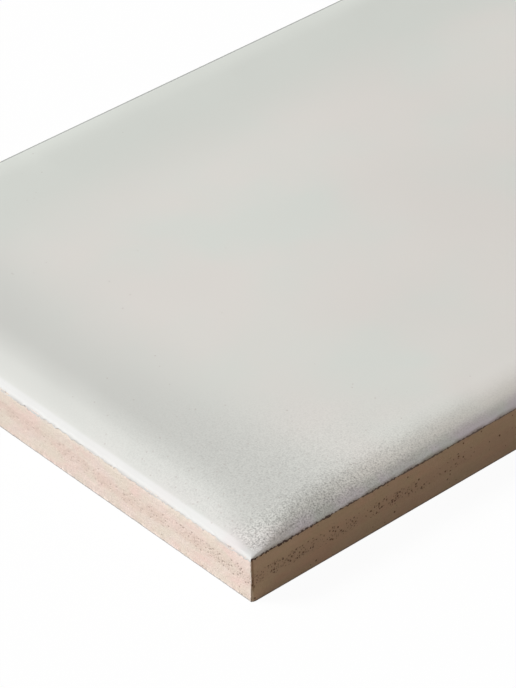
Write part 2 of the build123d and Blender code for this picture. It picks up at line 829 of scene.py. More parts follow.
def smooth_but_arrises(bench: Bench, mesh: Wire, sharp: float) -> bpy.types.NodeSocket:
    """Shades a mesh smooth, with its arrises kept crisp.

    Args:
        bench: The tree that the mesh is in.
        mesh: The mesh.
        sharp: The turn past which an edge stays crisp, in radians.

    Returns:
        The shaded mesh.
    """
    faces = bench.add("GeometryNodeSetShadeSmooth", {0: mesh, 2: True}, domain="FACE").outputs[0]
    turn = bench.add("GeometryNodeInputMeshEdgeAngle").outputs["Unsigned Angle"]
    crisp = bench.math("GREATER_THAN", turn, sharp)
    edges = bench.add("GeometryNodeSetShadeSmooth", {0: faces, 1: crisp, 2: False}, domain="EDGE")
    return edges.outputs[0]


def fired_relief() -> bpy.types.NodeTree:
    """Group for the glaze's own unevenness: slack waves, a wandering lip and a ragged edge.

    Returns:
        The group. Every move is inwards or down, so the coat stays inside the tile's size.
    """
    bench = Bench.group(
        "fired relief",
        TreeKind.SHAPE,
        {SocketKind.MESH: ("Mesh",), SocketKind.NUMBER: (*HALF_SIZES, *FIRED)},
        {SocketKind.MESH: ("Mesh",)},
    )
    slack = Patches(48 * MM, 5.0, 0.3, detail=1.0)
    coarse_rag = Patches(2.6 * MM, 9.0, 0.13, detail=1.0)
    fine_rag = Patches(0.9 * MM, 2.0, 0.16, detail=1.0)
    wandering = Patches(5.5 * MM, 4.0, 0.25, detail=1.0)
    wave_softness, wave_seed, rag_share = 0.16, 1.0, 0.5
    flank_in, flank_out, field_in = (1.4 * MM, 4.6 * MM), (6 * MM, 15 * MM), (7 * MM, 20 * MM)
    outermost, lip_reach, rim_reach = (0.06 * MM, 0.14 * MM), (0.4 * MM, 1.6 * MM), 0.3 * MM
    place = bench.add("GeometryNodeInputPosition").outputs[0]
    normal = bench.add("GeometryNodeInputNormal").outputs["Normal"]
    _, _, height = bench.parts(place)
    _, _, upward = bench.parts(normal)
    rims = bench.shared("rim distances", Place=place, **bench.handed(*HALF_SIZES))
    edge = rims["Edge"]
    outer = bench.math("GREATER_THAN", upward, 0.0)
    flank = bench.product(bench.rise(edge, flank_in), bench.fall(edge, flank_out))
    wave = Patches(bench.given("Wave Size"), wave_seed, wave_softness, detail=1.0)
    waves = bench.product(flank, bench.clouds(place, wave), bench.given("Wave Depth"))
    field = bench.product(
        bench.rise(edge, field_in), bench.clouds(place, slack), bench.given("Field Sag")
    )
    rim = bench.given("Rim Height")
    at_rim = bench.span(height, rim, bench.total(rim, rim_reach), 1, 0, smooth=True)
    outside = bench.span(edge, *outermost, 1, 0)
    ragged = bench.total(*(
        bench.product(bench.clouds(place, rag), rag_share) for rag in (coarse_rag, fine_rag)
    ))
    depth = bench.span(rims["Long Side"], 0, 1, bench.given("End Skirt"), bench.given("Skirt Depth"))
    skirt = bench.product(at_rim, outside, ragged, depth)
    wander = bench.product(
        outer,
        bench.fall(edge, lip_reach),
        bench.clouds(place, wandering),
        bench.given("Lip Wander"),
        -1.0,
    )
    down = bench.product(bench.total(bench.product(outer, bench.total(waves, field)), skirt), -1.0)
    offset = bench.join(bench.vector(0.0, 0.0, down), bench.stretch(normal, wander))
    moved = bench.add("GeometryNodeSetPosition", {"Geometry": bench.given("Mesh"), "Offset": offset})
    bench.give(Mesh=moved.outputs[0])
    return bench.tree


def pressed_relief() -> bpy.types.NodeTree:
    """Group for the bare side's relief: faint waves, the pitted band and the chipped arrises.

    Returns:
        The group. Every move is inwards, so the biscuit stays inside the tile's size.
    """
    bench = Bench.group(
        "pressed relief",
        TreeKind.SHAPE,
        {SocketKind.MESH: ("Mesh",), SocketKind.NUMBER: (*HALF_SIZES, *PRESSED)},
        {SocketKind.MESH: ("Mesh",)},
    )
    side_only, clear_of_bed = (0.12 * MM, 0.24 * MM), (0.0, 0.05 * MM)
    slow_wave = Patches(14 * MM, 8.0, 0.3)
    chipping = Patches(0.6 * MM, 6.0, 0.1)
    low_corner, foot_reach = (1.0 * MM, 3.2 * MM), (0.1 * MM, 0.5 * MM)
    wide_chip, narrow_chip, foot_share = 0.65 * MM, 0.35 * MM, 0.25
    shallowest, end_pits = 0.3, 0.4
    place = bench.add("GeometryNodeInputPosition").outputs[0]
    normal = bench.add("GeometryNodeInputNormal").outputs["Normal"]
    _, across, height = bench.parts(place)
    rims = bench.shared("rim distances", Place=place, **bench.handed(*HALF_SIZES))
    arris = rims["Arris"]
    on_side = bench.span(rims["Edge"], *side_only, 1, 0)
    low, high = bench.given("Band Low"), bench.given("Band High")
    share = bench.shared("grit band", Place=place, Arris=arris, Low=low, High=high)["Share"]
    pits, _ = bench.spots(place, Grit(bench.given("Pit Cell"), bench.given("Pit Size")), share)
    chip_width = bench.span(height, *low_corner, wide_chip, narrow_chip)
    reach = bench.span(bench.math("DIVIDE", arris, chip_width), 0, 1, 1, 0)
    ragged = bench.clouds(place, chipping)
    flake = bench.product(
        reach,
        bench.span(height, *low_corner, 1.0, 0.0),
        bench.span(ragged, 0, 1, shallowest, 1.0),
        bench.given("Chip Depth"),
    )
    by_foot = bench.product(bench.fall(height, foot_reach), foot_share)
    depth = bench.total(
        bench.product(
            pits, bench.given("Pit Depth"), bench.span(rims["Long Side"], 0, 1, end_pits, 1.0)
        ),
        bench.product(bench.clouds(place, slow_wave), bench.given("Side Wave")),
        bench.product(by_foot, ragged, bench.given("Chip Depth")),
    )
    above_bed = bench.span(height, *clear_of_bed)
    offset = bench.stretch(normal, bench.product(depth, on_side, above_bed, -1.0))
    level = bench.join(offset, (1, 1, 0), "MULTIPLY")
    inwards = bench.product(bench.math("SIGN", across), flake, on_side, -1.0)
    level = bench.join(level, bench.vector(0.0, inwards, 0.0))
    moved = bench.add("GeometryNodeSetPosition", {"Geometry": bench.given("Mesh"), "Offset": level})
    bench.give(Mesh=moved.outputs[0])
    return bench.tree


def section_object(name: str, section: Section) -> bpy.types.Object:
    """An object whose mesh is a chain of points along a section.

    Args:
        name: The piece's name.
        section: The section's points, in order.

    Returns:
        The object, which the piece's modifier then grows from.
    """
    mesh = bpy.data.meshes.new(f"{name}_section")
    links = [(i, i + 1) for i in range(len(section) - 1)]
    mesh.from_pydata([point[:3] for point in section], links, [])
    far = mesh.attributes.new(FAR_HEIGHT, "FLOAT", "POINT")
    far.data.foreach_set("value", [point[3] for point in section])
    piece = bpy.data.objects.new(name, mesh)
    bpy.context.scene.collection.objects.link(piece)
    return piece


def grow(piece: bpy.types.Object, tree: bpy.types.NodeTree, values: Mapping[str, object]) -> None:
    """Runs a tree on a piece with its sizes set, and keeps the result as a plain mesh.

    Args:
        piece: The object that the tree grows from.
        tree: The Geometry Nodes tree.
        values: The tree's inputs by name.
    """
    modifier = piece.modifiers.new(tree.name, "NODES")
    modifier.node_group = tree
    for item in tree.interface.items_tree:
        if item.item_type == "SOCKET" and item.in_out == "INPUT" and item.name in values:
            modifier[item.identifier] = values[item.name]
    seed_mesh = piece.data
    piece.update_tag()
    evaluated = piece.evaluated_get(bpy.context.evaluated_depsgraph_get())
    grown = bpy.data.meshes.new_from_object(evaluated)
    piece.modifiers.clear()
    piece.data = grown
    grown.name = piece.name
    bpy.data.meshes.remove(seed_mesh)


def report(piece: bpy.types.Object) -> None:
    """Logs a finished piece's size and how many triangles it has.

    Args:
        piece: The piece.
    """
    triangles = sum(len(face.vertices) - 2 for face in piece.data.polygons)
    size = ", ".join(f"{side / MM:.2f}" for side in piece.dimensions)
    log.info("%s: %d triangles, %s mm", piece.name, triangles, size)


class Coating(Bench):
    """A finish's node tree, with the places and distances that both finishes start from."""

    def __init__(self, name: str, tile: TileSizes) -> None:
        """Makes the material.

        Args:
            name: The material's name.
            tile: The tile's sizes.
        """
        self.material = bpy.data.materials.new(name)
        self.material.use_nodes = True
        super().__init__(self.material.node_tree)
        self.shader = self.tree.nodes["Principled BSDF"]
        self.place = self.add("ShaderNodeTexCoord").outputs["Object"]
        _, _, self.height = self.parts(self.place)
        rims = self.shared(
            "rim distances", Place=self.place, Half_Length=tile.half_length, Half_Width=tile.half_width
        )
        self.edge, self.arris, self.corner = rims["Edge"], rims["Arris"], rims["Corner"]
        self.end, self.side, self.long_side = rims["End"], rims["Side"], rims["Long Side"]

    def bump(self, distance: float, *heights: Wire) -> None:
        """Wires fine relief into the shader's normal."""
        inputs = {"Strength": 1.0, "Distance": distance, "Height": self.total(*heights)}
        self.feed(self.shader.inputs["Normal"], self.add("ShaderNodeBump", inputs).outputs[0])


@dataclass(frozen=True)
class Hairline:
    """The dark line at the glaze's foot on the long sides, a dark crack with painted shade under the lip:
    thick by the corners, fainter further on.
    """

    jags: Patches
    start: float
    reach: float
    tint: Tint = (0.100, 0.070, 0.065, 1)
    thinning: Range = (5 * MM, 50 * MM)
    shares: tuple[float, float] = (1.2, 0.7)
    fading: tuple[float, float] = (1.0, 0.7)

    def drawn(self, coat: Coating, colour: Wire, rim: float, on_side: Wire) -> bpy.types.NodeSocket:
        """Darkens a colour between the rim and the line's ragged edge.

        Args:
            coat: The material's tree.
            colour: The colour so far.
            rim: The rim's height.
            on_side: One where the line may be.

        Returns:
            The colour with the line on it.
        """
        thickness = coat.span(coat.end, *self.thinning, *self.shares)
        jag = coat.product(coat.clouds(coat.place, self.jags), thickness, self.reach)
        side_of_line = "LESS_THAN" if self.reach > 0 else "GREATER_THAN"
        # Painted shade under the lip, over the dark crack at the joint, on the long sides only.
        in_crack_shadow = coat.math(side_of_line, coat.height, coat.total(rim + self.start, jag))
        faded = coat.span(coat.end, *self.thinning, *self.fading)
        return coat.tint(coat.product(in_crack_shadow, coat.long_side, on_side, faded), colour, self.tint)


@dataclass(frozen=True)
class GlazeFinish:
    """Satin off-white glaze, faintly clouded, speckled towards the corners, clean at the lip."""

    beige_tint: Tint = (0.640, 0.620, 0.592, 1)
    green_tint: Tint = (0.606, 0.627, 0.595, 1)
    grey_tint: Tint = (0.560, 0.568, 0.543, 1)
    corner_tint: Tint = (0.532, 0.539, 0.516, 1)
    far_tint: Tint = (0.572, 0.594, 0.562, 1)
    end_lip_tint: Tint = (0.618, 0.622, 0.614, 1)
    lavender_tint: Tint = (0.622, 0.594, 0.652, 1)
    mossy_tint: Tint = (0.572, 0.610, 0.590, 1)
    rosy_tint: Tint = (0.620, 0.560, 0.560, 1)
    speck_tint: Tint = (0.330, 0.260, 0.245, 1)
    roughness: float = 0.55
    specular_level: float = 0.35
    warm: Patches = Patches(26 * MM, 11.0, 0.20, (0.8, 1, 1))
    cool: Patches = Patches(18 * MM, 14.3, 0.22)
    broad: Patches = Patches(40 * MM, 17.0, 0.30)
    blush: Patches = Patches(7 * MM, 21.0, 0.12)
    mottle: Patches = Patches(4.5 * MM, 25.0, 0.16)
    blush_reach: Range = (1.0 * MM, 5.0 * MM)
    blush_share: float = 0.6
    cool_share: float = 1.2
    broad_range: Range = (0.985, 1.03)
    far_green: Range = (20 * MM, 40 * MM)
    greyed_end: Range = (9 * MM, 27 * MM)
    corner_skew: tuple[float, float] = (1.9, 0.35)
    greyed_corner: Range = (24 * MM, 48 * MM)
    end_lip_width: Range = (0.9 * MM, 1.3 * MM)
    side_lip_width: Range = (0.3 * MM, 2.4 * MM)
    side_lip_start: Range = (1 * MM, 9 * MM)
    dimmed_lip: Range = (8 * MM, 42 * MM)
    lip_dimming: float = 0.93
    shaded_lip: Range = (6 * MM, 40 * MM)
    lip_shade: float = 0.92
    end_flank: Range = (2.5 * MM, 7.5 * MM)
    end_gain: float = 0.035
    far_rim: Range = (2.24 * MM, 2.40 * MM)
    far_rim_shade: float = 0.42
    pale_flank: Range = (10 * MM, 24 * MM)
    pale_gain: float = 0.09
    speckle: Grit = Grit(0.34 * MM, 0.60, 2.0)
    speckle_band: tuple[Range, Range] = ((0.1 * MM, 1.3 * MM), (1.8 * MM, 7.0 * MM))
    clean_end: Range = (0.8 * MM, 2.0 * MM)
    speckled_half: Range = (-10 * MM, 20 * MM)
    band_fading: float = 23 * MM
    band_strength: float = 0.52
    corner_fading: tuple[float, float] = (13 * MM, 17 * MM)
    corner_spread: Range = (12 * MM, 56 * MM)
    corner_strength: float = 0.25
    quiet_end: float = 16 * MM
    quiet_share: float = 0.4
    fleck_ground: float = 0.18
    fleck_range: Range = (-0.8, 0.1)
    stipple: Patches = Patches(0.21 * MM, 61.0, 0.20, detail=0.0)
    stipple_range: Range = (-0.40, 0.40)
    specks: Grit = Grit(0.60 * MM, 0.30, 5.0)
    speck_density: float = 0.45
    speck_share: float = 0.35
    pinholes: Grit = Grit(6.0 * MM, 0.030, 8.0)
    pinhole_density: float = 0.12
    pinhole_share: float = 0.3
    # Dark crack and painted shade just above the rim on the long sides.
    hairline: Hairline = Hairline(Patches(0.55 * MM, 31.0, 0.12, (1, 1, 0), 4.0), 0.0, 0.13 * MM)
    dulling: Patches = Patches(12 * MM, 41.0, 0.30)
    corner_dulling: float = 0.12
    patchy_dulling: float = 0.05
    peel: Patches = Patches(1.6 * MM, 51.0, 0.40, detail=3.0)
    relief: float = 0.02 * MM
    peel_height: float = 0.2
    fleck_height: float = 0.8
    speck_height: float = -0.5

    def make(self, tile: TileSizes) -> bpy.types.Material:
        """Builds the glaze's material.

        Args:
            tile: The tile's sizes, for the distances from its rim and corners.

        Returns:
            The material.
        """
        coat = Coating("satin_glaze", tile)
        place = coat.place
        fading = coat.total(*(
            coat.product(gap, -1.0 / reach)
            for gap, reach in zip((coat.end, coat.side), self.corner_fading)
        ))
        near_corner = coat.math("EXPONENT", fading)
        past_lip = coat.math(
            "MINIMUM", coat.rise(coat.end, self.end_lip_width), coat.rise(coat.side, self.side_lip_width)
        )
        colour = coat.tint(past_lip, self.lip(coat), self.clouded(coat))
        blush = coat.product(
            coat.fall(coat.edge, self.blush_reach),
            near_corner,
            coat.clouds(place, self.blush),
            self.blush_share,
        )
        colour = coat.tint(blush, colour, self.rosy_tint)
        shade = self.speckled(coat)
        colour = coat.stretch(colour, coat.total(shade, 1.0))
        specks, _ = coat.spots(
            place, self.specks, coat.product(near_corner, past_lip, self.speck_density)
        )
        colour = coat.tint(coat.product(specks, self.speck_share), colour, self.speck_tint)
        pinholes, _ = coat.spots(place, self.pinholes, self.pinhole_density)
        colour = coat.tint(coat.product(pinholes, self.pinhole_share), colour, self.speck_tint)
        # The dark crack and the painted shade under the lip.
        colour = self.hairline.drawn(coat, colour, tile.rim_height, on_side=1.0)
        coat.feed(coat.shader.inputs["Base Color"], colour)
        rough = coat.total(
            self.roughness,
            coat.product(near_corner, self.corner_dulling),
            coat.product(coat.clouds(place, self.dulling), self.patchy_dulling),
        )
        coat.feed(coat.shader.inputs["Roughness"], rough)
        coat.shader.inputs["Specular IOR Level"].default_value = self.specular_level
        coat.bump(
            self.relief,
            coat.product(coat.clouds(place, self.peel), self.peel_height),
            coat.product(shade, self.fleck_height),
            coat.product(specks, self.speck_height),
            coat.product(pinholes, -1.0),
        )
        return coat.material

    def lip(self, coat: Coating) -> bpy.types.NodeSocket:
        """The lip's tint: milky on the short ends, mottled lavender and grey on the long sides.

        Args:
            coat: The material's tree.

        Returns:
            The tint, which changes from one to the other round each corner.
        """
        dimmed = coat.span(coat.side, *self.dimmed_lip, 1.0, self.lip_dimming)
        end_lip = coat.stretch(self.end_lip_tint[:3], dimmed)
        side_lip = coat.tint(coat.clouds(coat.place, self.mottle), self.lavender_tint, self.mossy_tint)
        side_lip = coat.stretch(side_lip, coat.span(coat.end, *self.shaded_lip, self.lip_shade, 1.0))
        past_corner = coat.rise(coat.math("SUBTRACT", coat.end, coat.side), self.side_lip_start)
        return coat.tint(past_corner, end_lip, side_lip)

    def clouded(self, coat: Coating) -> bpy.types.NodeSocket:
        """The field's soft clouds, beige in the middle and greyer towards the ends.

        Args:
            coat: The material's tree.

        Returns:
            The glaze's tint before its specks.
        """
        place = coat.place
        _, across, _ = coat.parts(place)
        cool = coat.product(coat.clouds(place, self.warm), coat.clouds(place, self.cool))
        cool = coat.product(cool, self.cool_share)
        colour = coat.tint(cool, self.beige_tint, self.green_tint)
        colour = coat.stretch(colour, coat.span(coat.clouds(place, self.broad), 0, 1, *self.broad_range))
        colour = coat.tint(coat.rise(across, self.far_green), colour, self.far_tint)
        colour = coat.tint(coat.fall(coat.end, self.greyed_end), colour, self.grey_tint)
        skewed = coat.total(*(
            coat.product(gap, weight) for gap, weight in zip((coat.end, coat.side), self.corner_skew)
        ))
        colour = coat.tint(coat.fall(skewed, self.greyed_corner), colour, self.corner_tint)
        pale = coat.product(
            coat.fall(coat.side, self.speckle_band[1]), coat.rise(coat.end, self.pale_flank), self.pale_gain
        )
        by_end = coat.product(coat.fall(coat.end, self.end_flank), self.end_gain)
        far_side = coat.math("GREATER_THAN", across, 0.0)
        rim = coat.product(coat.fall(coat.side, self.far_rim), far_side, self.far_rim_shade - 1.0)
        return coat.stretch(colour, coat.total(pale, by_end, rim, 1.0))

    def speckled(self, coat: Coating) -> bpy.types.NodeSocket:
        """The fine light and dark flecks, dense on the long sides' flanks and by the corners.

        Args:
            coat: The material's tree.

        Returns:
            How much lighter or darker each fleck is, as a share of the glaze's tint.
        """
        inner, outer = self.speckle_band
        band = coat.product(
            coat.rise(coat.side, inner),
            coat.fall(coat.side, outer),
            coat.math("EXPONENT", coat.product(coat.end, -1.0 / self.band_fading)),
            self.band_strength,
        )
        _, across, _ = coat.parts(coat.place)
        by_corner = coat.product(
            coat.fall(coat.corner, self.corner_spread),
            coat.span(coat.end, 0.0, self.quiet_end, self.quiet_share, 1.0),
            self.corner_strength,
        )
        strength = coat.total(band, by_corner)
        grains, tone = coat.spots(coat.place, self.speckle, 1.0)
        fleck = coat.product(grains, coat.span(tone, 0, 1, *self.fleck_range))
        stipple = coat.span(coat.clouds(coat.place, self.stipple), 0, 1, *self.stipple_range)
        return coat.product(
            coat.total(fleck, stipple, self.fleck_ground),
            strength,
            coat.fall(across, self.speckled_half),
            coat.rise(coat.end, self.clean_end),
        )


@dataclass(frozen=True)
class BiscuitFinish:
    """Bare fired clay, pinkish beige and matt, pitted in a band half way up the side."""

    clay_tint: Tint = (0.790, 0.688, 0.640, 1)
    rosy_tint: Tint = (0.802, 0.650, 0.602, 1)
    olive_tint: Tint = (0.745, 0.692, 0.606, 1)
    band_tint: Tint = (0.715, 0.592, 0.530, 1)
    # Painted shade in the pressed pits, and dark grains.
    pit_shade_and_grit_tint: Tint = (0.135, 0.072, 0.046, 1)
    film_tint: Tint = (0.668, 0.636, 0.594, 1)
    # Painted contact shade along the foot of the sides.
    foot_shade_tint: Tint = (0.360, 0.360, 0.370, 1)
    # Pale arris: rubbed clay and a painted highlight.
    worn_lit_tint: Tint = (0.880, 0.830, 0.780, 1)
    shaded_tint: Tint = (0.300, 0.190, 0.130, 1)
    mark_tint: Tint = (0.400, 0.360, 0.370, 1)
    roughness: float = 0.85
    specular_level: float = 0.25
    band_low: float = 2.7 * MM
    band_high: float = 4.7 * MM
    pits: Grit = Grit(0.50 * MM, 0.42)
    grit: Grit = Grit(0.32 * MM, 0.46, 4.0)
    marks: Grit = Grit(0.42 * MM, 0.50, 6.0)
    mark_share: float = 0.22
    quiet_pits: Range = (4 * MM, 34 * MM)
    quiet_shares: tuple[float, float] = (0.5, 0.2)
    mark_drops: Range = (0.60 * MM, 0.40 * MM)
    mark_strength: float = 0.7
    # Dark crack and painted shade just below the rim on the long sides.
    hairline: Hairline = Hairline(
        Patches(0.6 * MM, 55.0, 0.13, (1, 1, 0), 4.0), -0.02 * MM, -0.26 * MM
    )
    side_depth: Range = (0.4 * MM, 0.8 * MM)
    olive_share: float = 0.7
    streak_range: Range = (0.975, 1.02)
    sand_range: Range = (0.97, 1.025)
    band_shares: Range = (0.25, 0.8)
    pit_share: float = 0.85
    grit_density: float = 0.8
    grit_share: float = 0.5
    film_share: float = 0.7
    film_depths: Range = (-0.1 * MM, 0.9 * MM)
    film_fade: float = 0.5 * MM
    film_gloss: float = -0.2
    foot_reach: Range = (0.12 * MM, 0.22 * MM)
    foot_share: float = 0.8
    low_corner: Range = (1.0 * MM, 3.2 * MM)
    worn_lit_low: float = 0.55 * MM
    worn_lit_high: Range = (0.02 * MM, 0.30 * MM)
    worn_lit_rag: float = 0.14 * MM
    worn_lit_edge: Range = (0.7, 1.0)
    worn_lit_share: float = 0.8
    shaded_start: Range = (0.12 * MM, 0.22 * MM)
    shaded_end: Range = (0.34 * MM, 0.50 * MM)
    shaded_share: float = 0.6
    relief: float = 0.03 * MM
    sand_height: float = 0.5
    crumb_height: float = 0.8
    pit_height: float = -2.0
    streak_height: float = 0.3
    corner_reach: Range = (10 * MM, 45 * MM)
    corner_gain: float = 1.06
    # Painted shade: the long sides darker and browner than the short ends.
    long_side_shade_tint: Tint = (0.700, 0.560, 0.400, 1)
    long_side_shade_share: float = 0.22
    sand: Grit = Grit(0.20 * MM, 0.90, 9.0)
    blotches: Patches = Patches(6 * MM, 3.0, 0.16, (1, 1, 2.0))
    olives: Patches = Patches(5 * MM, 12.0, 0.14, (1, 1, 1.8))
    streaks: Patches = Patches(2.6 * MM, 22.0, 0.25, (0.35, 0.35, 5.0))
    band_patches: Patches = Patches(4 * MM, 33.0, 0.16)
    film_patches: Patches = Patches(1.5 * MM, 44.0, 0.14, detail=3.0)
    chipping: Patches = Patches(0.8 * MM, 6.0, 0.20)
    crumb: Patches = Patches(0.9 * MM, 66.0, 0.30, detail=4.0)

    def make(self, tile: TileSizes) -> bpy.types.Material:
        """Builds the clay's material.

        Args:
            tile: The tile's sizes, for the distances from its corners and rim.

        Returns:
            The material.
        """
        coat = Coating("fired_clay", tile)
        place, height = coat.place, coat.height
        on_side = coat.span(coat.edge, *self.side_depth, 1, 0)
        colour = coat.tint(coat.clouds(place, self.blotches), self.clay_tint, self.rosy_tint)
        olive = coat.product(coat.clouds(place, self.olives), self.olive_share)
        colour = coat.tint(olive, colour, self.olive_tint)
        # Painted shade on the long sides.
        colour = coat.tint(coat.product(coat.long_side, self.long_side_shade_share), colour, self.long_side_shade_tint)
        streaks = coat.clouds(place, self.streaks)
        colour = coat.stretch(colour, coat.span(streaks, 0, 1, *self.streak_range))
        band = coat.shared(
            "grit band", Place=place, Arris=coat.arris, Low=self.band_low, High=self.band_high
        )
        patchy = coat.span(coat.clouds(place, self.band_patches), 0, 1, *self.band_shares)
        colour = coat.tint(coat.product(band["Band"], on_side, patchy), colour, self.band_tint)
        _, sand = coat.spots(place, self.sand, 1.0)
        colour = coat.stretch(colour, coat.span(sand, 0, 1, *self.sand_range))
        colour = coat.stretch(colour, coat.span(coat.arris, *self.corner_reach, self.corner_gain, 1.0))
        film = self.film(coat, tile, on_side)
        colour = coat.tint(coat.product(film, self.film_share), colour, self.film_tint)
        # Dark tint in the pits and grit: painted shade in the pits, and dark grains.
        dark = self.pitted(coat, coat.product(band["Share"], on_side))
        colour = coat.tint(dark, colour, self.pit_shade_and_grit_tint)
        # Painted contact shade: a thin dark grey line along the foot.
        foot = coat.product(coat.fall(height, self.foot_reach), on_side, self.foot_share)
        colour = coat.tint(foot, colour, self.foot_shade_tint)
        marks, _ = coat.spots(place, self.marks, self.mark_share)
        by_line = coat.rise(height, tuple(tile.rim_height - drop for drop in self.mark_drops))
        marks = coat.product(marks, by_line, coat.rest(coat.long_side), on_side, self.mark_strength)
        colour = coat.tint(marks, colour, self.mark_tint)
        # Painted shade and painted highlight at the upright arrises, with rubbed pale clay.
        shaded, worn_lit = self.wear(coat)
        colour = coat.tint(shaded, colour, self.shaded_tint)
        colour = coat.tint(worn_lit, colour, self.worn_lit_tint)
        # The dark crack and the painted shade under the lip.
        colour = self.hairline.drawn(coat, colour, tile.rim_height, on_side)
        coat.feed(coat.shader.inputs["Base Color"], colour)
        rough = coat.total(self.roughness, coat.product(film, self.film_gloss))
        coat.feed(coat.shader.inputs["Roughness"], rough)
        coat.shader.inputs["Specular IOR Level"].default_value = self.specular_level
        coat.bump(
            self.relief,
            coat.product(sand, self.sand_height),
            coat.product(coat.clouds(place, self.crumb), self.crumb_height),
            coat.product(dark, self.pit_height),
            coat.product(streaks, self.streak_height),
        )
        return coat.material

    def pitted(self, coat: Coating, share: Wire) -> bpy.types.NodeSocket:
        """How dark the pits and the grit are, milder on the short ends.

        Args:
            coat: The material's tree.
            share: The share of cells with a pit.

        Returns:
            The share of the pits' dark tint.
        """
        pits, _ = coat.spots(coat.place, self.pits, share)
        grit, _ = coat.spots(coat.place, self.grit, coat.product(share, self.grit_density))
        dark = coat.math(
            "MAXIMUM", coat.product(pits, self.pit_share), coat.product(grit, self.grit_share)
        )
        on_end = coat.span(coat.side, *self.quiet_pits, *self.quiet_shares)
        return coat.product(dark, coat.span(coat.long_side, 0, 1, on_end, 1.0))

    def film(self, coat: Coating, tile: TileSizes, on_side: Wire) -> bpy.types.NodeSocket:
        """Where a thin film of glaze greys the clay under the lip of the short ends.

        Args:
            coat: The material's tree.
            tile: The tile's sizes.
            on_side: One on the upright sides.

        Returns:
            The film's mask.
        """
        depth = coat.span(coat.clouds(coat.place, self.film_patches), 0, 1, *self.film_depths)
        foot = coat.math("SUBTRACT", tile.rim_height, depth)
        film = coat.rise(coat.height, (foot, coat.total(foot, self.film_fade)))
        return coat.product(film, coat.rest(coat.long_side), on_side)

    def wear(self, coat: Coating) -> tuple[bpy.types.NodeSocket, bpy.types.NodeSocket]:
        """How the upright arrises look: painted shade on the long side, and pale where rubbed or chipped,
        partly a painted highlight.

        Args:
            coat: The material's tree.

        Returns:
            The painted shade's share, just inside the arris on the long side above its chips, and the pale
            share, rubbed clay with a painted highlight, along the whole arris of the short end and wide and
            ragged near the foot.
        """
        ragged = coat.product(coat.clouds(coat.place, self.chipping), self.worn_lit_rag)
        reach = coat.total(coat.arris, ragged)
        on_end = coat.rest(coat.long_side)
        high_width = coat.span(on_end, 0, 1, *self.worn_lit_high)
        width = coat.span(coat.height, *self.low_corner, self.worn_lit_low, high_width)
        # Pale strip: rubbed clay, partly a painted highlight where the chipped arris catches the light.
        pale = coat.span(coat.math("DIVIDE", reach, width), *self.worn_lit_edge, 1, 0)
        # Painted shade: a dark strip just inside the arris on the long side, above the chips.
        dark = coat.product(
            coat.rise(coat.arris, self.shaded_start),
            coat.fall(coat.arris, self.shaded_end),
            coat.rise(coat.height, self.low_corner),
            coat.long_side,
            self.shaded_share,
        )
        return dark, coat.product(pale, self.worn_lit_share)


def sweep_on(bench: Bench, sweep: bpy.types.NodeTree) -> bpy.types.NodeSocket:
    """Sweeps a piece's section with the sizes that its tree is given."""
    inputs = bench.handed(*OUTLINE, *STATIONS)
    return bench.use(sweep, Section=bench.given("Section"), **inputs).outputs[0]


def finish_tree(bench: Bench, mesh: Wire) -> None:
    """Ends a piece's tree: instances made real, then the finish.

    Args:
        bench: The piece's tree.
        mesh: The shaped mesh.
    """
    real = bench.add("GeometryNodeRealizeInstances", {0: mesh}).outputs[0]
    coated = bench.add("GeometryNodeSetMaterial", {"Geometry": real, "Material": bench.given("Finish")})
    bench.give(Mesh=coated.outputs[0])


